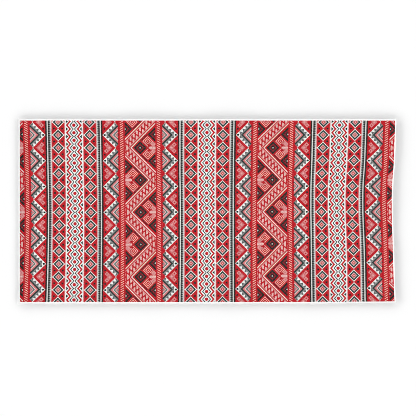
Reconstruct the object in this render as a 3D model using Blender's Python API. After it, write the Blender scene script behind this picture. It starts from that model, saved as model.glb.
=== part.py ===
"""Beach towel laid out flat: one panel of terry cloth whose own edge is turned under as a hem.

Metres, +Z up. +X runs along the towel, +Y across it. The origin lies on the surface that the towel
rests on, under the middle of its outline. A place on the cloth is (along, down): its distance from
the left end and its distance from the far long edge, both measured on the flat cloth.
"""
import math
from bisect import bisect_right

import bmesh
import bpy

# Driving sizes of the cloth
LENGTH = 1.850
WIDTH = 0.905
CLOTH_THICKNESS = 0.003

# The hem: the edge folded under twice, so it is thicker than the cloth beside it
HEM_WIDTH = 0.009
HEM_THICKNESS = 0.0048
HEM_STEP = 0.002
EDGE_ROUND = 0.0016
HEM_PLACES = (0.0, EDGE_ROUND, HEM_WIDTH - HEM_STEP, HEM_WIDTH)
HEM_LINES = len(HEM_PLACES) - 1

# How the rim curls up off the surface
CURL_REACH = 0.060
CURL_HEIGHT = 0.0042
CURL_UNEVEN = 0.30
CURL_WAVES = (0.47, 0.29)

# Spacing of the faces inside the hem
CELL = 0.037

# The right end is drawn in to a lopsided hollow, and the pull fades out along the towel
HOLLOW_REACH = 0.800
HOLLOW = (
    # down, how far the end stands back
    (0.000, 0.0000),
    (0.120, 0.0035),
    (0.215, 0.0070),
    (0.330, 0.0155),
    (0.450, 0.0172),
    (0.600, 0.0128),
    (0.760, 0.0083),
    (0.905, 0.0030),
)

# The near edge rises a little at the right end, and the far edge lies straight
NEAR_RISE = (
    # along, how far the near edge rises
    (0.000, 0.0000),
    (1.300, 0.0000),
    (1.500, 0.0008),
    (1.700, 0.0022),
    (1.850, 0.0035),
)

# Low swells where the cloth stands off the surface: middle of the ridge, the way it heads
# (degrees from +X), half its length, half its width and its height
SWELLS = (
    # along, down, heading, half_length, half_width, height
    (0.150, 0.430, 84.0, 0.360, 0.105, 0.0030),
    (0.395, 0.250, 97.0, 0.250, 0.095, 0.0017),
    (0.560, 0.640, 78.0, 0.280, 0.110, 0.0024),
    (0.760, 0.250, 100.0, 0.230, 0.090, 0.0015),
    (1.120, 0.300, 102.0, 0.290, 0.110, 0.0025),
    (1.290, 0.620, 80.0, 0.260, 0.095, 0.0020),
    (1.500, 0.380, 93.0, 0.330, 0.100, 0.0034),
    (1.700, 0.440, 88.0, 0.300, 0.080, 0.0042),
)

COLOURS = {
    # name: colour, roughness
    "printed_pile": ((0.430, 0.070, 0.080, 1.0), 0.90),
    "white_terry": ((0.860, 0.855, 0.850, 1.0), 0.92),
}


def clear_scene():
    for thing in list(bpy.data.objects):
        bpy.data.objects.remove(thing, do_unlink=True)


def read_curve(table, at):
    """The smooth curve through a table of stations and values, read at one place."""
    stations = [station for station, value in table]
    values = [value for station, value in table]
    last = len(table) - 1
    k = min(max(bisect_right(stations, at) - 1, 0), last - 1)

    def slope(i):
        before = max(i - 1, 0)
        after = min(i + 1, last)
        return (values[after] - values[before]) / (stations[after] - stations[before])

    span = stations[k + 1] - stations[k]
    f = (at - stations[k]) / span
    rise = f * f * (3.0 - 2.0 * f)
    leave = f * (1.0 - f) ** 2 * span * slope(k)
    arrive = f * f * (f - 1.0) * span * slope(k + 1)
    return values[k] * (1.0 - rise) + values[k + 1] * rise + leave + arrive


def lay_out(along, down):
    """Where a place on the cloth lies in plan, with the right end's hollow and rise."""
    fade = max(0.0, 1.0 - (LENGTH - along) / HOLLOW_REACH)
    x = along - LENGTH / 2.0 - read_curve(HOLLOW, down) * fade * fade * (3.0 - 2.0 * fade)
    y = WIDTH / 2.0 - down + read_curve(NEAR_RISE, along) * down / WIDTH
    return x, y


def swell_height(along, down):
    """Sum of the low swells; each one ends at its half length and half width."""
    height = 0.0
    for mid_along, mid_down, heading, half_length, half_width, crest in SWELLS:
        angle = math.radians(heading)
        east = along - mid_along
        north = mid_down - down
        lengthwise = (east * math.cos(angle) + north * math.sin(angle)) / half_length
        crosswise = (north * math.cos(angle) - east * math.sin(angle)) / half_width
        if abs(lengthwise) < 1.0 and abs(crosswise) < 1.0:
            height += crest * (1.0 - lengthwise**2) ** 2 * (1.0 - crosswise**2) ** 2
    return height


def curl_height(along, down):
    """How far the rim curls up, strongest at the very edge and uneven round it."""
    flatness = 1.0
    for distance in (along, LENGTH - along, down, WIDTH - down):
        flatness *= 1.0 - max(0.0, 1.0 - distance / CURL_REACH) ** 2
    wave = math.sin(2.0 * math.pi * (along + 0.6 * down) / CURL_WAVES[0])
    wave += math.sin(2.0 * math.pi * (down - 0.8 * along) / CURL_WAVES[1])
    return CURL_HEIGHT * (1.0 - flatness) * (1.0 + CURL_UNEVEN * 0.5 * wave)


def lines_across(size):
    """Places of the grid lines over one side of the cloth, with the hem's own lines at both ends."""
    inner = size - 2.0 * HEM_WIDTH
    count = round(inner / CELL)
    middle = [HEM_WIDTH + inner * k / count for k in range(1, count)]
    return list(HEM_PLACES) + middle + [size - place for place in reversed(HEM_PLACES)]


def thickness(from_edge):
    """Thickness of the cloth at a distance from its nearest edge."""
    step = (HEM_WIDTH - from_edge) / HEM_STEP
    return CLOTH_THICKNESS + (HEM_THICKNESS - CLOTH_THICKNESS) * min(max(step, 0.0), 1.0)


def add_material(name):
    colour, roughness = COLOURS[name]
    material = bpy.data.materials.new(name)
    material.use_nodes = True
    shader = material.node_tree.nodes["Principled BSDF"]
    shader.inputs["Base Color"].default_value = colour
    shader.inputs["Roughness"].default_value = roughness
    shader.inputs["Metallic"].default_value = 0.0
    material.diffuse_color = colour
    return material


def add_towel():
    """The panel with its hem: an upper and a lower skin of the same grid, closed round the edge."""
    columns = lines_across(LENGTH)
    rows = lines_across(WIDTH)
    body = bmesh.new()
    upper = {}
    lower = {}
    for i, along in enumerate(columns):
        for j, down in enumerate(rows):
            x, y = lay_out(along, down)
            floor = swell_height(along, down) + curl_height(along, down)
            from_edge = min(along, LENGTH - along, down, WIDTH - down)
            thick = thickness(from_edge)
            rounding = EDGE_ROUND * max(0.0, 1.0 - from_edge / EDGE_ROUND)
            upper[i, j] = body.verts.new((x, y, floor + thick - rounding))
            lower[i, j] = body.verts.new((x, y, floor + rounding))

    printed, white = 0, 1
    last_i = len(columns) - 1
    last_j = len(rows) - 1
    for i in range(last_i):
        for j in range(last_j):
            corners = ((i, j), (i, j + 1), (i + 1, j + 1), (i + 1, j))
            inside_hem = HEM_LINES <= i < last_i - HEM_LINES and HEM_LINES <= j < last_j - HEM_LINES
            face = body.faces.new([upper[corner] for corner in corners])
            face.material_index = printed if inside_hem else white
            face = body.faces.new([lower[corner] for corner in reversed(corners)])
            face.material_index = white

    rim = [(i, 0) for i in range(last_i)]
    rim += [(last_i, j) for j in range(last_j)]
    rim += [(i, last_j) for i in range(last_i, 0, -1)]
    rim += [(0, j) for j in range(last_j, 0, -1)]
    for here, there in zip(rim, rim[1:] + rim[:1]):
        face = body.faces.new((upper[here], upper[there], lower[there], lower[here]))
        face.material_index = white

    bmesh.ops.triangulate(body, faces=body.faces)
    mesh = bpy.data.meshes.new("towel")
    body.to_mesh(mesh)
    body.free()
    mesh.materials.append(add_material("printed_pile"))
    mesh.materials.append(add_material("white_terry"))
    mesh.shade_smooth()
    towel = bpy.data.objects.new("towel", mesh)
    bpy.context.scene.collection.objects.link(towel)
    return towel


clear_scene()
add_towel()
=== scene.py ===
"""Looks of the beach towel: fine printed velour cloth with its white hem, stitches and terry back.

Metres, in the frame of the solids. A place on the cloth is (along, down): its distance from the
left end and its distance from the far long edge, both measured on the flat cloth.
"""
import math

import bpy
import numpy as np
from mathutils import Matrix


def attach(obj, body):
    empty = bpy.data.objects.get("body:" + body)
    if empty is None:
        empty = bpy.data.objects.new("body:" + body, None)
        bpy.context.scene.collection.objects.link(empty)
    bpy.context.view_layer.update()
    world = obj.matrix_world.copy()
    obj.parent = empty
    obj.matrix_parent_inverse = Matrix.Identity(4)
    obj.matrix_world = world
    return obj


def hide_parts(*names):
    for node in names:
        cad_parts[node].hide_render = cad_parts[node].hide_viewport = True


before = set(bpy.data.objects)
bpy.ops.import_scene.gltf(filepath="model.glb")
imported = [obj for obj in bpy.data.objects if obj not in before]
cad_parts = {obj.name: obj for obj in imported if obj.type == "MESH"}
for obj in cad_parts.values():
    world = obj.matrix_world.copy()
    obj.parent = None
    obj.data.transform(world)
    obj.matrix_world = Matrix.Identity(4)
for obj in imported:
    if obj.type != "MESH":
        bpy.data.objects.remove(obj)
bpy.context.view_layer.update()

# The cloth, with the same sizes as its solid
LENGTH = 1.850
WIDTH = 0.905
CLOTH_THICKNESS = 0.003
HEM_THICKNESS = 0.0048
CURL_REACH = 0.060
CURL_HEIGHT = 0.0042
CURL_UNEVEN = 0.30
CURL_WAVES = (0.47, 0.29)
HOLLOW_REACH = 0.800
HOLLOW = (
    # down, how far the right end stands back
    (0.000, 0.0000),
    (0.120, 0.0035),
    (0.215, 0.0070),
    (0.330, 0.0155),
    (0.450, 0.0172),
    (0.600, 0.0128),
    (0.760, 0.0083),
    (0.905, 0.0030),
)
NEAR_RISE = (
    # along, how far the near edge rises
    (0.000, 0.0000),
    (1.300, 0.0000),
    (1.500, 0.0008),
    (1.700, 0.0022),
    (1.850, 0.0035),
)
SWELLS = (
    # along, down, heading, half_length, half_width, height
    (0.150, 0.430, 84.0, 0.360, 0.105, 0.0030),
    (0.395, 0.250, 97.0, 0.250, 0.095, 0.0017),
    (0.560, 0.640, 78.0, 0.280, 0.110, 0.0024),
    (0.760, 0.250, 100.0, 0.230, 0.090, 0.0015),
    (1.120, 0.300, 102.0, 0.290, 0.110, 0.0025),
    (1.290, 0.620, 80.0, 0.260, 0.095, 0.0020),
    (1.500, 0.380, 93.0, 0.330, 0.100, 0.0034),
    (1.700, 0.440, 88.0, 0.300, 0.080, 0.0042),
)

# The hem as it shows from above, and its section as shares of its width and of its thickness
HEM_WIDTHS = {"left": 0.0066, "right": 0.0080, "far": 0.0085, "near": 0.0086}
# Rows of cells at the very rim that take the grey outer-fold cloth: painted shade of the hem's edge
PAINTED_SHADE_LINES = 2
HEM_SECTION = (
    # share of the width, top, underside
    (0.00, 0.50, 0.50),
    (0.05, 0.79, 0.21),
    (0.12, 0.92, 0.08),
    (0.24, 1.00, 0.00),
    (0.62, 1.00, 0.00),
    (0.76, 0.93, 0.00),
    (0.84, 0.74, 0.00),
    (0.92, 0.70, 0.00),
    (1.00, CLOTH_THICKNESS / HEM_THICKNESS, 0.00),
)
MESH_CELL = 0.0071

# Small unevenness of the cloth: cockles beside the hem, and ripples all over
COCKLE_REACH = 0.030
COCKLES = ((0.043, 0.00035), (0.071, 0.00030))
RIPPLE_COUNT = 14
RIPPLE_LENGTHS = (0.040, 0.130)
RIPPLE_HEIGHT = 0.00060
RIPPLE_SEED = 7

# How far the print strays on the cloth, in millimetres: a row for each station along the towel, and
# a column for each level down it
STRAY_LEVELS = (0.0, 0.25, 0.50, 0.75, 1.0)
STRAY_ALONG = (
    # along, far edge, quarter, middle, three quarters, near edge
    (0.000, -3.0, 4.5, 8.5, 5.0, -1.0),
    (0.150, -1.5, 2.5, 6.0, 3.5, -2.5),
    (0.400, -2.0, 2.0, 4.5, 4.0, 2.0),
    (0.640, -2.5, 0.0, 2.0, 2.0, 1.0),
    (0.850, 1.0, -0.5, 1.0, 1.0, -1.0),
    (1.060, 4.0, 1.0, 0.0, 0.0, 0.5),
    (1.260, 3.0, -0.5, -1.5, -2.0, -2.0),
    (1.450, 1.0, -1.0, -0.5, -1.0, -2.0),
    (1.650, 2.0, 0.0, 0.0, 2.0, -1.0),
    (1.850, -2.0, -0.5, 3.0, 3.0, 0.0),
)
STRAY_DOWN = (
    # along, far edge, quarter, middle, three quarters, near edge
    (0.000, 0.0, 1.0, 1.0, 0.0, -0.5),
    (0.350, 1.5, 1.0, 1.5, 2.5, 4.0),
    (0.850, 0.5, 0.0, -0.5, -1.0, 0.5),
    (1.100, 0.5, 0.0, -1.5, -2.0, -2.5),
    (1.490, 1.5, -0.5, -1.0, -2.5, -3.0),
    (1.650, 1.0, 0.0, 0.0, -2.5, -4.0),
    (1.850, 1.5, 2.5, 1.0, -3.0, -4.5),
)

# The print: its cell, and where a white band's middle and a first row lie on the cloth, in metres
CELL = 0.0035
WHITE_MIDDLE = 0.27124
FIRST_ROW = 0.1414

# How the print repeats, and where its bands start, in cells from the middle of a white band. The
# bands are mirrored on both sides of that middle and of the zigzag's.
HALF_REPEAT = 0.3243 / CELL
ROW_REPEAT = 90.0
LOZENGE_START = 12.45
LOZENGE_MIDDLE = 22.08
LINES_START = 31.85
CHEVRON_START = 39.65
BRAID_START = 62.7
ZIGZAG_START = 70.5
COMB_TEETH = 36
BRAID_STITCHES = 29

INKS = {
    # name: red, green and blue of 255
    "red": (185, 23, 34),
    "deep red": (176, 16, 28),
    "garnet": (140, 28, 38),
    "maroon": (96, 22, 28),
    "umber": (64, 22, 24),
    "black": (30, 37, 35),
    "coal": (40, 54, 53),
    "slate": (92, 95, 94),
    "grey": (132, 136, 135),
    "silver": (184, 186, 185),
    "pale": (212, 212, 210),
    "white": (228, 228, 227),
    "shell": (226, 192, 184),
    "cream": (216, 174, 170),
    "pink": (207, 138, 138),
    "rose": (200, 110, 112),
}

# The cloth's finish. Scales are in waves for each metre, and mottles are shares of the tone.
SPECULAR = 0.10
SHEEN_ROUGHNESS = 0.45
PILE_SCALE = 900.0
PILE_MOTTLE = 0.16
PILE_DEPTH = 0.0007
DRIFT_SCALE = 190.0
DRIFT_MOTTLE = 0.85
NAP_SCALE = 9.0
NAP_MOTTLE = 0.10
PRINT_TONE = 0.95
PRINT_WAVER = 0.0006
FROST = 0.12
WHITE_NAP_SCALE = 14.0
WHITE_CLOTHS = (
    # name, size of a loop, depth of the loops, colour
    ("white_hem", 0.0012, 0.0003, (0.86, 0.86, 0.855)),
    ("white_terry", 0.0020, 0.0012, (0.83, 0.83, 0.82)),
    # The outer fold's grey is painted shade of the hem's edge, not the cloth's own colour
    ("hem_fold_painted_shade", 0.0012, 0.0003, (0.42, 0.42, 0.42)),
    ("white_thread", 0.0006, 0.0001, (0.88, 0.87, 0.86)),
)

# Stitches of the hem: place of their line in its width, pitch, length and thickness
STITCH_PLACE = 0.84
STITCH_PITCH = 0.0028
STITCH_LENGTH = 0.0023
THREAD = 0.00050
THREAD_SIDES = 6
THREAD_RINGS = (
    # place along the stitch, height of the thread's middle, share of its thickness
    (-0.50, -0.90, 0.55),
    (-0.30, 0.15, 1.00),
    (0.30, 0.15, 1.00),
    (0.50, -0.90, 0.55),
)

# The picture that is baked from the cloth: least step between its grid lines, bare rim, height
# that the back takes, and width that the back takes
BAKE_STEP = 0.0008
BAKE_MARGIN = 0.004
BAKE_BACK_HEIGHT = 0.26
BAKE_BACK_WIDTH = 0.5

# Camera straight above, and the size of what it frames at the cloth
VIEW_SIDE = 2.0349
VIEW_CENTRE = (0.0015, 0.0161)
CAMERA_LENS = 200.0
SENSOR = 36.0
FILM_BLUR = 0.9

FLOOR_SIDE = 80.0
FLOOR_COLOUR = (0.900, 0.900, 0.900)

# Soft light from all round, mostly low and from the left. Between the rows it blends evenly.
SKY = (
    # height of the light (sine of its angle), all round, more from +X, more from +Y
    (-1.00, 0.00, 0.0, 0.0),
    (0.06, 1.05, 0.0, 0.0),
    (0.13, 6.60, -6.0, -0.6),
    (0.22, 7.70, -3.8, -1.2),
    (0.36, 1.80, 1.5, 0.0),
    (0.60, 0.45, 0.2, 0.0),
    (1.00, 0.25, 0.0, 0.0),
)


def linear(level):
    """A colour level of 255 as scene-linear light."""
    share = level / 255.0
    return share / 12.92 if share <= 0.04045 else ((share + 0.055) / 1.055) ** 2.4


def ink(name):
    return tuple(linear(level) for level in INKS[name]) + (1.0,)


class Term:
    """A number worked out by shader math nodes, so that a formula can be written as one."""

    def __init__(self, tree, socket):
        self.tree = tree
        self.socket = socket

    def math(self, operation, *values):
        node = self.tree.nodes.new("ShaderNodeMath")
        node.operation = operation
        for socket, value in zip(node.inputs, values):
            if isinstance(value, Term):
                self.tree.links.new(value.socket, socket)
            else:
                socket.default_value = value
        return Term(self.tree, node.outputs[0])

    def __add__(self, other):
        return self.math("ADD", self, other)

    def __radd__(self, other):
        return self.math("ADD", other, self)

    def __sub__(self, other):
        return self.math("SUBTRACT", self, other)

    def __rsub__(self, other):
        return self.math("SUBTRACT", other, self)

    def __mul__(self, other):
        return self.math("MULTIPLY", self, other)

    def __abs__(self):
        return self.math("ABSOLUTE", self)

    def __lt__(self, other):
        return self.math("LESS_THAN", self, other)

    def __gt__(self, other):
        return self.math("GREATER_THAN", self, other)

    def __and__(self, other):
        return self.math("MULTIPLY", self, other)

    def __or__(self, other):
        return self.math("MAXIMUM", self, other)

    def near(self, middle, reach):
        """1 within that reach of the middle, else 0."""
        return self.math("COMPARE", self, middle, reach)

    def fold(self, half):
        """Distance from the nearest whole repeat, for a repeat of two halves."""
        return self.math("PINGPONG", self, half)

    def wrap(self, half):
        """Signed distance from the nearest whole repeat."""
        return self.math("WRAP", self, half, -half)

    def nearest(self):
        return self.math("ROUND", self)

    def least(self, other):
        return self.math("MINIMUM", self, other)

    def most(self, other):
        return self.math("MAXIMUM", self, other)


class Layer:
    """A colour that is built up by painting shapes over a ground."""

    def __init__(self, tree, ground):
        self.tree = tree
        node = tree.nodes.new("ShaderNodeRGB")
        node.outputs[0].default_value = ink(ground)
        self.socket = node.outputs[0]

    def paint(self, mask, colour):
        """Lays an ink, or another layer, over the places where the mask is 1."""
        node = self.tree.nodes.new("ShaderNodeMix")
        node.data_type = "RGBA"
        factor, below, above = node.inputs[0], node.inputs[6], node.inputs[7]
        self.tree.links.new(mask.socket, factor)
        self.tree.links.new(self.socket, below)
        if isinstance(colour, Layer):
            self.tree.links.new(colour.socket, above)
        else:
            above.default_value = ink(colour)
        self.socket = node.outputs[2]


def diamond(x, y, middle_x, middle_y):
    """Distance from a diamond's middle, measured along the cells."""
    return abs(x - middle_x) + abs(y - middle_y)


def square(x, y, middle_x, middle_y, half):
    return x.near(middle_x, half) & y.near(middle_y, half)


def ringed(layer, distance, rings):
    """Rings round a middle, the widest one first."""
    for reach, name in rings:
        layer.paint(distance < reach, name)


# The bands. All their sizes are in cells: x is the distance from a band's middle or its start, row
# is the place down the cloth, and half is half of a motif's repeat down it.
def white_band(tree, x, row):
    """Red dots on white between dark and red zigzag lines, with black triangles at the edges."""
    half = 5.294
    y = row.fold(half)
    layer = Layer(tree, "white")
    layer.paint(square(x, y, 4.5, half, 0.80), "pink")
    layer.paint((x + y * 0.87).near(5.50, 0.78), "coal")
    layer.paint((x + y * 0.84).near(9.80, 1.40), "red")
    layer.paint((x * x + y * y) < 5.5, "red")
    layer.paint((x < 11.0) & ((x + y * 1.25) > (7.9 + 1.25 * half)), "black")
    return layer


def lozenge_band(tree, x, row):
    """Red ground with ringed lozenges: a dark stepped ring round a red and pink lattice."""
    half = 9.0
    block = 1.867
    y = row.fold(half)
    from_middle = x + y
    stair = (x * (1.0 / block)).nearest() + (y * (1.0 / block)).nearest()
    rings = ((4.4, "silver"), (3.9, "pink"), (2.5, "red"), (1.3, "cream"))
    layer = Layer(tree, "red")
    layer.paint(x > 8.75, "pink")
    layer.paint(square(x, y, 8.8, 0.0, 1.0), "cream")
    layer.paint(from_middle < 8.6, "white")
    layer.paint(diamond(x, y, 0.0, half) < 1.3, "rose")
    layer.paint(from_middle.near(5.95, 1.4) | stair.near(3.0, 0.5), "coal")
    ringed(layer, from_middle, rings)
    layer.paint(square(x, y, 5.75, half, 1.25), "black")
    return layer


def line_bands(tree, out, row):
    """Upright lines between the lozenges and the chevrons, one of them a comb of short teeth.

    Their places, out, are measured from the middle of the white band.
    """
    layer = Layer(tree, "pale")
    comb, spine = out.near(34.60, 1.75), out.near(35.20, 1.15)
    tooth = row.fold(ROW_REPEAT / COMB_TEETH / 2.0) < 0.76
    layer.paint(comb, "silver")
    layer.paint(spine | (comb & tooth), "slate")
    layer.paint(spine & tooth, "black")
    layer.paint(out > 37.9, "black")
    layer.paint(out > 39.2, "umber")
    return layer


def chevron_band(tree, x, row):
    """White chevrons with a dark comb inside, over red triangles with pink trefoils."""
    half = 18.0
    y = (row - half).fold(half)
    depth = x - y
    inside = (depth > 0.30) & ((x + y) < 35.3)
    from_tooth = abs((x + y - 10.3).wrap(3.87))
    stripes = (
        # depth at which the stripe starts, ink
        (5.4, "grey"),
        (7.6, "coal"),
        (10.6, "rose"),
        (12.5, "pink"),
        (13.8, "pale"),
        (14.9, "slate"),
        (17.2, "pale"),
        (17.9, "rose"),
    )
    layer = Layer(tree, "red")
    layer.paint(x < 0.6, "umber")
    layer.paint(square(x, y, 3.0, 8.5, 1.15), "black")
    ringed(layer, diamond(x, y, 9.3, half), ((4.4, "rose"), (2.4, "pink"), (0.9, "cream")))
    ringed(layer, diamond(x, y, 5.5, 13.6), ((3.4, "pink"), (1.2, "red")))
    layer.paint(inside, "white")
    layer.paint(inside & (from_tooth < ((depth - 0.5) * 0.60)), "slate")
    layer.paint(square(x, y, 3.5, 0.0, 1.25), "black")
    for start, name in stripes:
        layer.paint(inside & (depth > start), name)
    layer.paint((x > 21.8) & (depth > 10.5), "red")
    layer.paint(square(x, y, 22.3, 5.6, 0.9), "maroon")
    layer.paint(square(x, y, 22.6, 0.0, 1.2), "maroon")
    layer.paint(square(x, y, 21.2, 0.0, 0.9), "grey")
    layer.paint(diamond(x, y, 18.3, half) < 0.9, "pink")
    layer.paint(x > 23.2, "red")
    return layer


def braid_band(tree, x, row):
    """A red cord with slanted pale stitches."""
    half = ROW_REPEAT / BRAID_STITCHES / 2.0
    layer = Layer(tree, "red")
    layer.paint(x.near(4.15, 2.3) & ((row + x * 0.55).fold(half) < 0.47), "shell")
    return layer


def add_pocket(layer, x, y):
    """A turn's pocket: ringed squares and a bar, with a dark diamond at its middle and its edge."""
    squares = ((7.3, "cream"), (6.1, "red"), (4.2, "cream"), (3.1, "red"), (1.0, "cream"))
    patches = (x.fold(1.5) < 0.8) | (y.fold(1.5) < 0.5)
    layer.paint(x.near(17.4, 4.0) & (y < 2.8), "rose")
    layer.paint(x.near(16.8, 4.6) & (y < 1.3), "cream")
    ringed(layer, diamond(x, y, 18.4, 5.0), ((3.8, "pink"), (0.9, "rose")))
    ringed(layer, diamond(x, y, 10.6, 9.1), squares)
    layer.paint((abs(x - 12.9) * 0.6 + abs(y - 3.5)) < 1.8, "deep red")
    for middle_x, middle_y, size in ((0.0, 0.0, 1.0), (20.7, 18.7, 1.07)):
        away = diamond(x, y, middle_x, middle_y)
        ringed(layer, away, ((10.8 * size, "red"), (9.2 * size, "black"), (6.0 * size, "maroon")))
        layer.paint((away < 6.0 * size) & patches, "garnet")
        ringed(layer, away, ((3.7, "black"), (1.25, "silver")))


def slanted_ribbon(tree, x, y, edge):
    """The ribbon of the zigzag: red teeth on cream, between red and pale lines at its edges.

    Edge is how far a place lies from the ribbon's middle line.
    """
    inner = edge < 5.6
    ribbon = Layer(tree, "cream")
    ribbon.paint(edge > 5.4, "pink")
    ribbon.paint(inner & ((x + 11.44).fold(2.25) < 1.00), "red")
    ribbon.paint(inner & ((y + x * 0.733 - 22.62).fold(3.9) < 1.25), "red")
    ribbon.paint(edge.near(8.0, 0.90), "red")
    ribbon.paint(edge > 9.5, "pale")
    return ribbon


def zigzag_band(tree, wide, row):
    """A ribbon that runs to and fro over the band, with a pocket of diamonds in each of its turns.

    Turned by half a repeat, a left pocket is a right one, so all places are taken to a right one.
    """
    half = ROW_REPEAT / 2.0
    turned_y = row.fold(half)
    other = wide < (turned_y - half / 2.0)
    x = wide - (other & (wide * 2.0))
    y = turned_y + (other & (half - turned_y * 2.0))
    # How far the place lies from the ribbon's middle line. The ribbon is a bit wider on its left.
    across = x - y + 22.95
    edge = across - other * 0.8

    layer = Layer(tree, "red")
    add_pocket(layer, x, y)
    layer.paint(across.near(14.3, 1.2) & y.near(14.2, 4.3), "maroon")
    layer.paint(edge < 10.9, slanted_ribbon(tree, x, y, edge))
    layer.paint(abs(x) > 21.4, "red")
    return layer


def folk_print(tree, along, down):
    """The whole print at a place on the cloth."""
    column = (along - WHITE_MIDDLE) * (1.0 / CELL)
    row = (down - FIRST_ROW) * (1.0 / CELL)
    # How far the place lies from the middle of a white band
    out = column.fold(HALF_REPEAT)
    layer = white_band(tree, out, row)
    layer.paint(out > LOZENGE_START, lozenge_band(tree, abs(out - LOZENGE_MIDDLE), row))
    layer.paint(out > LINES_START, line_bands(tree, out, row))
    layer.paint(out > CHEVRON_START, chevron_band(tree, out - CHEVRON_START, row))
    layer.paint(out > BRAID_START, braid_band(tree, out - BRAID_START, row))
    wide = (column - HALF_REPEAT).wrap(HALF_REPEAT)
    layer.paint(out > ZIGZAG_START, zigzag_band(tree, wide, row))
    return layer


def new_material(name, roughness, sheen):
    material = bpy.data.materials.new(name)
    material.use_nodes = True
    shader = material.node_tree.nodes["Principled BSDF"]
    shader.inputs["Roughness"].default_value = roughness
    shader.inputs["Specular IOR Level"].default_value = SPECULAR
    shader.inputs["Sheen Weight"].default_value = sheen
    shader.inputs["Sheen Roughness"].default_value = SHEEN_ROUGHNESS
    return material, shader


def cloth_places(tree):
    """Where a point lies on the cloth: along, down, and both as a vector."""
    uv = tree.nodes.new("ShaderNodeUVMap")
    uv.uv_map = "cloth"
    split = tree.nodes.new("ShaderNodeSeparateXYZ")
    tree.links.new(uv.outputs[0], split.inputs[0])
    return Term(tree, split.outputs[0]), Term(tree, split.outputs[1]), uv.outputs[0]


def noise(tree, places, scale, detail):
    node = tree.nodes.new("ShaderNodeTexNoise")
    node.noise_dimensions = "2D"
    node.inputs["Scale"].default_value = scale
    node.inputs["Detail"].default_value = detail
    node.inputs["Roughness"].default_value = 0.55
    tree.links.new(places, node.inputs["Vector"])
    return Term(tree, node.outputs[0])


def shade(tree, colour, factor):
    """The colour times a number."""
    node = tree.nodes.new("ShaderNodeVectorMath")
    node.operation = "SCALE"
    tree.links.new(colour, node.inputs[0])
    tree.links.new(factor.socket, node.inputs["Scale"])
    return node.outputs[0]


def add_bump(tree, shader, height, distance, strength):
    node = tree.nodes.new("ShaderNodeBump")
    node.inputs["Strength"].default_value = strength
    node.inputs["Distance"].default_value = distance
    tree.links.new(height.socket, node.inputs["Height"])
    tree.links.new(node.outputs[0], shader.inputs["Normal"])


def printed_velour():
    """The sheared face: the print, frosted where the pile parts, with a mottle of the nap."""
    material, shader = new_material("printed_velour", roughness=0.85, sheen=0.05)
    tree = material.node_tree
    along, down, places = cloth_places(tree)
    pile = noise(tree, places, PILE_SCALE, detail=1.0)
    drift = noise(tree, places, DRIFT_SCALE, detail=1.0)
    nap = noise(tree, places, NAP_SCALE, detail=3.0)
    print_along = along + (pile - 0.5) * PRINT_WAVER
    print_down = down + (drift - 0.5) * PRINT_WAVER
    layer = folk_print(tree, print_along, print_down)
    layer.paint(((drift - 0.5) * FROST).most(0.0), "white")
    mottle = (nap - 0.5) * NAP_MOTTLE + (pile - 0.5) * PILE_MOTTLE
    tone = mottle + (drift - 0.5) * DRIFT_MOTTLE + PRINT_TONE
    rough = 0.80 + pile * 0.15
    tree.links.new(shade(tree, layer.socket, tone), shader.inputs["Base Color"])
    tree.links.new(rough.socket, shader.inputs["Roughness"])
    add_bump(tree, shader, pile + nap * 0.5, distance=PILE_DEPTH, strength=0.6)
    return material


def white_cloth(name, grain, depth, colour):
    """White cotton with its loops or weave as bump, and painted shade that greys it in the hollows.
    """
    material, shader = new_material(name, roughness=0.9, sheen=0.15)
    tree = material.node_tree
    places = cloth_places(tree)[2]
    loops = tree.nodes.new("ShaderNodeTexVoronoi")
    loops.voronoi_dimensions = "2D"
    loops.inputs["Scale"].default_value = 1.0 / grain
    tree.links.new(places, loops.inputs["Vector"])
    hollow = Term(tree, loops.outputs["Distance"])
    nap = noise(tree, places, WHITE_NAP_SCALE, detail=3.0)
    base = tree.nodes.new("ShaderNodeRGB")
    base.outputs[0].default_value = colour + (1.0,)
    # Painted shade: up to a tenth darker towards the hollows between the loops; the nap adds random
    # tone
    tone = 1.02 - hollow * 0.10 + (nap - 0.5) * 0.05
    rough = 0.82 + hollow * 0.15
    tree.links.new(shade(tree, base.outputs[0], tone), shader.inputs["Base Color"])
    tree.links.new(rough.socket, shader.inputs["Roughness"])
    add_bump(tree, shader, 1.0 - hollow, distance=depth, strength=0.8)
    return material


def read_curve(table, at):
    """The smooth curve through a table of stations and values, read at an array of places."""
    stations = np.array([row[0] for row in table])
    values = np.array([row[1] for row in table])
    last = len(stations) - 1
    k = np.clip(np.searchsorted(stations, at, side="right") - 1, 0, last - 1)
    before = np.maximum(np.arange(last + 1) - 1, 0)
    after = np.minimum(np.arange(last + 1) + 1, last)
    slopes = (values[after] - values[before]) / (stations[after] - stations[before])
    span = stations[k + 1] - stations[k]
    f = (at - stations[k]) / span
    rise = f * f * (3.0 - 2.0 * f)
    leave = f * (1.0 - f) ** 2 * span * slopes[k]
    arrive = f * f * (f - 1.0) * span * slopes[k + 1]
    return values[k] * (1.0 - rise) + values[k + 1] * rise + leave + arrive


def read_grid(table, along, down):
    """A table of stations and levels, read at the places of a grid."""
    stations = [row[0] for row in table]
    rows = []
    for level in range(len(STRAY_LEVELS)):
        column = [(station, row[1 + level]) for station, row in zip(stations, table)]
        rows.append(read_curve(column, along))
    flat = np.array(rows)
    found = [
        read_curve(list(zip(STRAY_LEVELS, flat[:, i])), down / WIDTH) for i in range(len(along))
    ]
    return np.array(found)


def lay_out(along, down):
    """Where places on the cloth lie in plan, with the right end's hollow and rise."""
    fade = np.clip(1.0 - (LENGTH - along) / HOLLOW_REACH, 0.0, 1.0)
    x = along - LENGTH / 2.0 - read_curve(HOLLOW, down) * fade * fade * (3.0 - 2.0 * fade)
    y = WIDTH / 2.0 - down + read_curve(NEAR_RISE, along) * down / WIDTH
    return x, y


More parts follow.
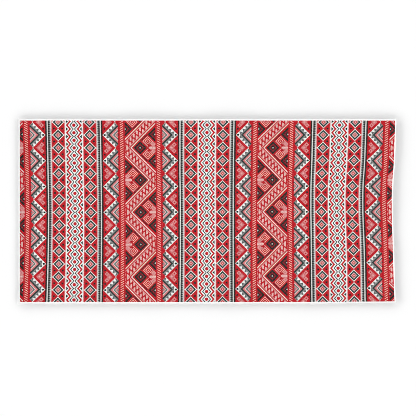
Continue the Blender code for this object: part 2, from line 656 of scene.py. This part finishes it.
def swell_height(along, down):
    """Sum of the low swells; each one ends at its half length and half width."""
    height = np.zeros_like(along)
    for mid_along, mid_down, heading, half_length, half_width, crest in SWELLS:
        angle = math.radians(heading)
        east = along - mid_along
        north = mid_down - down
        lengthwise = (east * math.cos(angle) + north * math.sin(angle)) / half_length
        crosswise = (north * math.cos(angle) - east * math.sin(angle)) / half_width
        reach = np.clip(1.0 - lengthwise**2, 0.0, 1.0) ** 2
        height += crest * reach * np.clip(1.0 - crosswise**2, 0.0, 1.0) ** 2
    return height


def curl_height(along, down):
    """How far the rim curls up, strongest at the very edge and uneven round it."""
    flatness = np.ones_like(along)
    for distance in (along, LENGTH - along, down, WIDTH - down):
        flatness *= 1.0 - np.clip(1.0 - distance / CURL_REACH, 0.0, 1.0) ** 2
    wave = np.sin(2.0 * math.pi * (along + 0.6 * down) / CURL_WAVES[0])
    wave += np.sin(2.0 * math.pi * (down - 0.8 * along) / CURL_WAVES[1])
    return CURL_HEIGHT * (1.0 - flatness) * (1.0 + CURL_UNEVEN * 0.5 * wave)


def cockle_height(along, down):
    """Small puckers that the stitches draw up beside the hem."""
    from_edge = np.minimum.reduce([along, LENGTH - along, down, WIDTH - down])
    fade = np.clip(1.0 - from_edge / COCKLE_REACH, 0.0, 1.0)
    height = np.zeros_like(along)
    for length, crest in COCKLES:
        height += crest * (1.0 + np.sin(2.0 * math.pi * (along + down) / length))
    return height * fade


def ripple_height(along, down):
    """Faint ripples of many lengths and headings."""
    draw = np.random.default_rng(RIPPLE_SEED)
    height = np.zeros_like(along)
    for _ in range(RIPPLE_COUNT):
        length = draw.uniform(*RIPPLE_LENGTHS)
        heading, phase = draw.uniform(0.0, 2.0 * math.pi, 2)
        across = along * math.cos(heading) + down * math.sin(heading)
        height += np.sin(2.0 * math.pi * across / length + phase)
    return RIPPLE_HEIGHT * np.clip(0.5 + height / (2.0 * math.sqrt(RIPPLE_COUNT)), 0.0, None)


def hem_share(along, down):
    """Place in the hem's section: 0 at the very edge, 1 where the hem ends and further in."""
    shares = [
        along / HEM_WIDTHS["left"],
        (LENGTH - along) / HEM_WIDTHS["right"],
        down / HEM_WIDTHS["far"],
        (WIDTH - down) / HEM_WIDTHS["near"],
    ]
    return np.clip(np.minimum.reduce(shares), 0.0, 1.0)


def skins(along, down):
    """Points of the upper and the lower skin at places on the cloth."""
    x, y = lay_out(along, down)
    lift = swell_height(along, down) + curl_height(along, down)
    lift = lift + cockle_height(along, down) + ripple_height(along, down)
    share = hem_share(along, down)
    widths, tops, undersides = (np.array(column) for column in zip(*HEM_SECTION))
    upper = lift + HEM_THICKNESS * np.interp(share, widths, tops)
    lower = lift + HEM_THICKNESS * np.interp(share, widths, undersides)
    return np.stack([x, y, upper], axis=-1), np.stack([x, y, lower], axis=-1)


def lines_across(size, first_hem, last_hem):
    """Places of the grid lines over one side of the cloth, close together in the two hems."""
    shares = [row[0] for row in HEM_SECTION]
    inner = size - first_hem - last_hem
    count = round(inner / MESH_CELL)
    middle = [first_hem + inner * k / count for k in range(1, count)]
    first = [share * first_hem for share in shares]
    last = [size - share * last_hem for share in reversed(shares)]
    return np.array(first + middle + last)


def spread_lines(places):
    """The grid lines' places in the picture that is baked from the cloth, from 0 to 1."""
    steps = np.maximum(np.diff(places), BAKE_STEP)
    spread = np.concatenate([[0.0], np.cumsum(steps)])
    return spread / spread[-1]


def add_object(name, points, faces, materials):
    mesh = bpy.data.meshes.new(name)
    mesh.from_pydata(points, [], faces)
    for material in materials:
        mesh.materials.append(material)
    made = bpy.data.objects.new(name, mesh)
    bpy.context.scene.collection.objects.link(made)
    return made


def grid_cells(n, m):
    """The cells of a grid of n by m lines: first corner, and the lines at all four corners."""
    cells = np.meshgrid(np.arange(n - 1), np.arange(m - 1), indexing="ij")
    i, j = (index.ravel() for index in cells)
    corners = np.stack([(i, j), (i, j + 1), (i + 1, j + 1), (i + 1, j)], axis=0)
    return i, j, corners[:, 0].T, corners[:, 1].T


def face_slots(i, j, n, m):
    """Which material each face has: all faces of the upper skin first, then the lower skin's."""
    printed, hem, back, fold = range(4)
    from_rim = np.minimum.reduce([i, n - 2 - i, j, m - 2 - j])
    # The outermost rows of the rim get the grey fold cloth, painted shade of the hem's edge
    rim = np.where(from_rim < PAINTED_SHADE_LINES, fold, hem)
    in_print = from_rim >= len(HEM_SECTION) - 1
    slots = [np.where(in_print, printed, rim), np.where(in_print, back, rim)]
    return np.concatenate(slots).astype(np.int32)


def add_cloth(materials):
    """The whole towel as one closed sheet: two skins of the same grid that meet at the rim."""
    columns = lines_across(LENGTH, HEM_WIDTHS["left"], HEM_WIDTHS["right"])
    rows = lines_across(WIDTH, HEM_WIDTHS["far"], HEM_WIDTHS["near"])
    n, m = len(columns), len(rows)
    along, down = np.meshgrid(columns, rows, indexing="ij")
    upper, lower = skins(along, down)
    above = np.arange(n * m).reshape(n, m)
    below = above.copy()
    below[1:-1, 1:-1] = n * m + np.arange((n - 2) * (m - 2)).reshape(n - 2, m - 2)
    points = np.concatenate([upper.reshape(-1, 3), lower[1:-1, 1:-1].reshape(-1, 3)])

    i, j, ring_i, ring_j = grid_cells(n, m)
    back_i, back_j = ring_i[:, ::-1], ring_j[:, ::-1]
    faces = np.concatenate([above[ring_i, ring_j], below[back_i, back_j]])
    cloth = add_object("towel_cloth", points.tolist(), faces.tolist(), materials)
    cloth.data.polygons.foreach_set("material_index", face_slots(i, j, n, m))
    cloth.data.shade_smooth()
    corner_i = np.concatenate([ring_i, back_i]).ravel()
    corner_j = np.concatenate([ring_j, back_j]).ravel()
    add_print_map(cloth.data, columns, rows, corner_i, corner_j)
    add_bake_map(cloth.data, columns, rows, corner_i, corner_j)
    return cloth


def add_uv_map(mesh, name, u, v):
    uv_map = mesh.uv_layers.new(name=name)
    uv_map.data.foreach_set("uv", np.stack([u, v], axis=1).astype(np.float32).ravel())


def add_print_map(mesh, columns, rows, corner_i, corner_j):
    """The map of the places on the print, in metres."""
    millimetre = 0.001
    print_along = columns[:, None] - read_grid(STRAY_ALONG, columns, rows) * millimetre
    print_down = rows[None, :] - read_grid(STRAY_DOWN, columns, rows) * millimetre
    add_uv_map(mesh, "cloth", print_along[corner_i, corner_j], print_down[corner_i, corner_j])


def add_bake_map(mesh, columns, rows, corner_i, corner_j):
    """The map for a baked picture: the front above, and the back, a good deal smaller, below."""
    wide, high = spread_lines(columns)[corner_i], spread_lines(rows)[corner_j]
    front = np.arange(len(corner_i)) < len(corner_i) // 2
    front_width = 1.0 - 2.0 * BAKE_MARGIN
    front_height = 1.0 - BAKE_BACK_HEIGHT - 2.0 * BAKE_MARGIN
    back_height = BAKE_BACK_HEIGHT - 2.0 * BAKE_MARGIN
    front_v = BAKE_BACK_HEIGHT + BAKE_MARGIN + high * front_height
    u = BAKE_MARGIN + wide * np.where(front, front_width, BAKE_BACK_WIDTH)
    v = np.where(front, front_v, BAKE_MARGIN + high * back_height)
    add_uv_map(mesh, "OFBake", u, v)


def stitch_lines():
    """Start, heading and length of the stitch line along each side of the cloth."""
    inset = {side: width * STITCH_PLACE for side, width in HEM_WIDTHS.items()}
    left, right = inset["left"], LENGTH - inset["right"]
    far, near = inset["far"], WIDTH - inset["near"]
    wide = LENGTH - inset["left"] - inset["right"]
    high = WIDTH - inset["far"] - inset["near"]
    return (
        ((left, far), (1.0, 0.0), wide),
        ((right, far), (0.0, 1.0), high),
        ((right, near), (-1.0, 0.0), wide),
        ((left, near), (0.0, -1.0), high),
    )


def stitch_points(start, heading, length):
    """Points of one line of stitches: a block for each side of each ring, one row per stitch."""
    count = int(length / STITCH_PITCH)
    middles = (np.arange(count) + 0.5) * length / count
    blocks = []
    for place, height, thick in THREAD_RINGS:
        at = middles + place * STITCH_LENGTH
        top = skins(start[0] + heading[0] * at, start[1] + heading[1] * at)[0]
        radius = 0.5 * THREAD * thick
        for side in range(THREAD_SIDES):
            turn = 2.0 * math.pi * side / THREAD_SIDES
            out = radius * math.cos(turn)
            up = THREAD * height + radius * math.sin(turn)
            blocks.append(top + np.array([heading[1] * out, heading[0] * out, up]))
    return np.array(blocks)


def stitch_faces(first, count):
    """Faces of one line of stitches, whose points start at that number: sides, then both ends."""
    last_ring = (len(THREAD_RINGS) - 1) * THREAD_SIDES
    outlines = []
    for ring in range(0, last_ring, THREAD_SIDES):
        for side in range(THREAD_SIDES):
            here = ring + side
            beside = ring + (side + 1) % THREAD_SIDES
            outlines.append((here, beside, beside + THREAD_SIDES, here + THREAD_SIDES))
    outlines.append(range(THREAD_SIDES - 1, -1, -1))
    outlines.append(range(last_ring, last_ring + THREAD_SIDES))
    stitches = first + np.arange(count)
    faces = []
    for outline in outlines:
        corners = np.stack([stitches + count * block for block in outline], axis=1)
        faces.extend(corners.tolist())
    return faces


def add_stitches(material):
    """The hem's lockstitch: short threads in a row, their ends drawn into the cloth."""
    points = []
    faces = []
    for start, heading, length in stitch_lines():
        blocks = stitch_points(start, heading, length)
        faces.extend(stitch_faces(len(points), blocks.shape[1]))
        points.extend(blocks.reshape(-1, 3).tolist())
    stitches = add_object("hem_stitches", points, faces, [material])
    stitches.data.shade_smooth()
    return stitches


def add_floor():
    half = FLOOR_SIDE / 2.0
    corners = [(-half, -half, 0.0), (half, -half, 0.0), (half, half, 0.0), (-half, half, 0.0)]
    material = bpy.data.materials.new("floor")
    material.use_nodes = True
    shader = material.node_tree.nodes["Principled BSDF"]
    shader.inputs["Base Color"].default_value = FLOOR_COLOUR + (1.0,)
    shader.inputs["Roughness"].default_value = 1.0
    shader.inputs["Specular IOR Level"].default_value = 0.0
    floor = add_object("floor", corners, [(0, 1, 2, 3)], [material])


def add_light():
    """A soft sky of the studio's own, worked out from the direction that the light comes from."""
    world = bpy.data.worlds.new("studio")
    world.use_nodes = True
    bpy.context.scene.world = world
    tree = world.node_tree
    place = tree.nodes.new("ShaderNodeTexCoord")
    split = tree.nodes.new("ShaderNodeSeparateXYZ")
    tree.links.new(place.outputs["Generated"], split.inputs[0])
    east, north, up = (Term(tree, socket) for socket in split.outputs)
    # Times this, the level part of the direction is one unit long
    level = up.math("POWER", 1.0 - up * up, -0.5)
    brightness = 0.0
    for k in range(1, len(SKY)):
        below, (height, around, from_east, from_north) = SKY[k - 1][0], SKY[k]
        share = (up - below) * (1.0 / (height - below))
        if k < len(SKY) - 1:
            above = SKY[k + 1][0]
            share = share.least((above - up) * (1.0 / (above - height)))
        sides = around + (east * from_east + north * from_north) * level
        brightness = brightness + share.most(0.0) * sides
    tree.links.new(brightness.socket, tree.nodes["Background"].inputs["Strength"])
    tree.nodes["Background"].inputs["Color"].default_value = (1.0, 1.0, 1.0, 1.0)


def add_camera():
    data = bpy.data.cameras.new("camera")
    data.lens = CAMERA_LENS
    data.sensor_width = SENSOR
    data.clip_end = 100.0
    camera = bpy.data.objects.new("camera", data)
    camera.location = (*VIEW_CENTRE, VIEW_SIDE * CAMERA_LENS / SENSOR)
    bpy.context.scene.collection.objects.link(camera)
    bpy.context.scene.camera = camera


add_camera()
add_light()
add_floor()
velour = printed_velour()
# The fold cloth is grey with painted shade of the hem's outer edge
hem, terry, fold, thread = (white_cloth(*row) for row in WHITE_CLOTHS)
cloth = add_cloth([velour, hem, terry, fold])
stitches = add_stitches(thread)
for piece in (cloth, stitches):
    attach(piece, "root")
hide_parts("towel")
bpy.context.scene.view_settings.view_transform = "Standard"
bpy.context.scene.cycles.filter_width = FILM_BLUR
# Without a prefilter, the denoiser keeps the print's small shapes
bpy.context.scene.cycles.denoising_prefilter = "NONE"
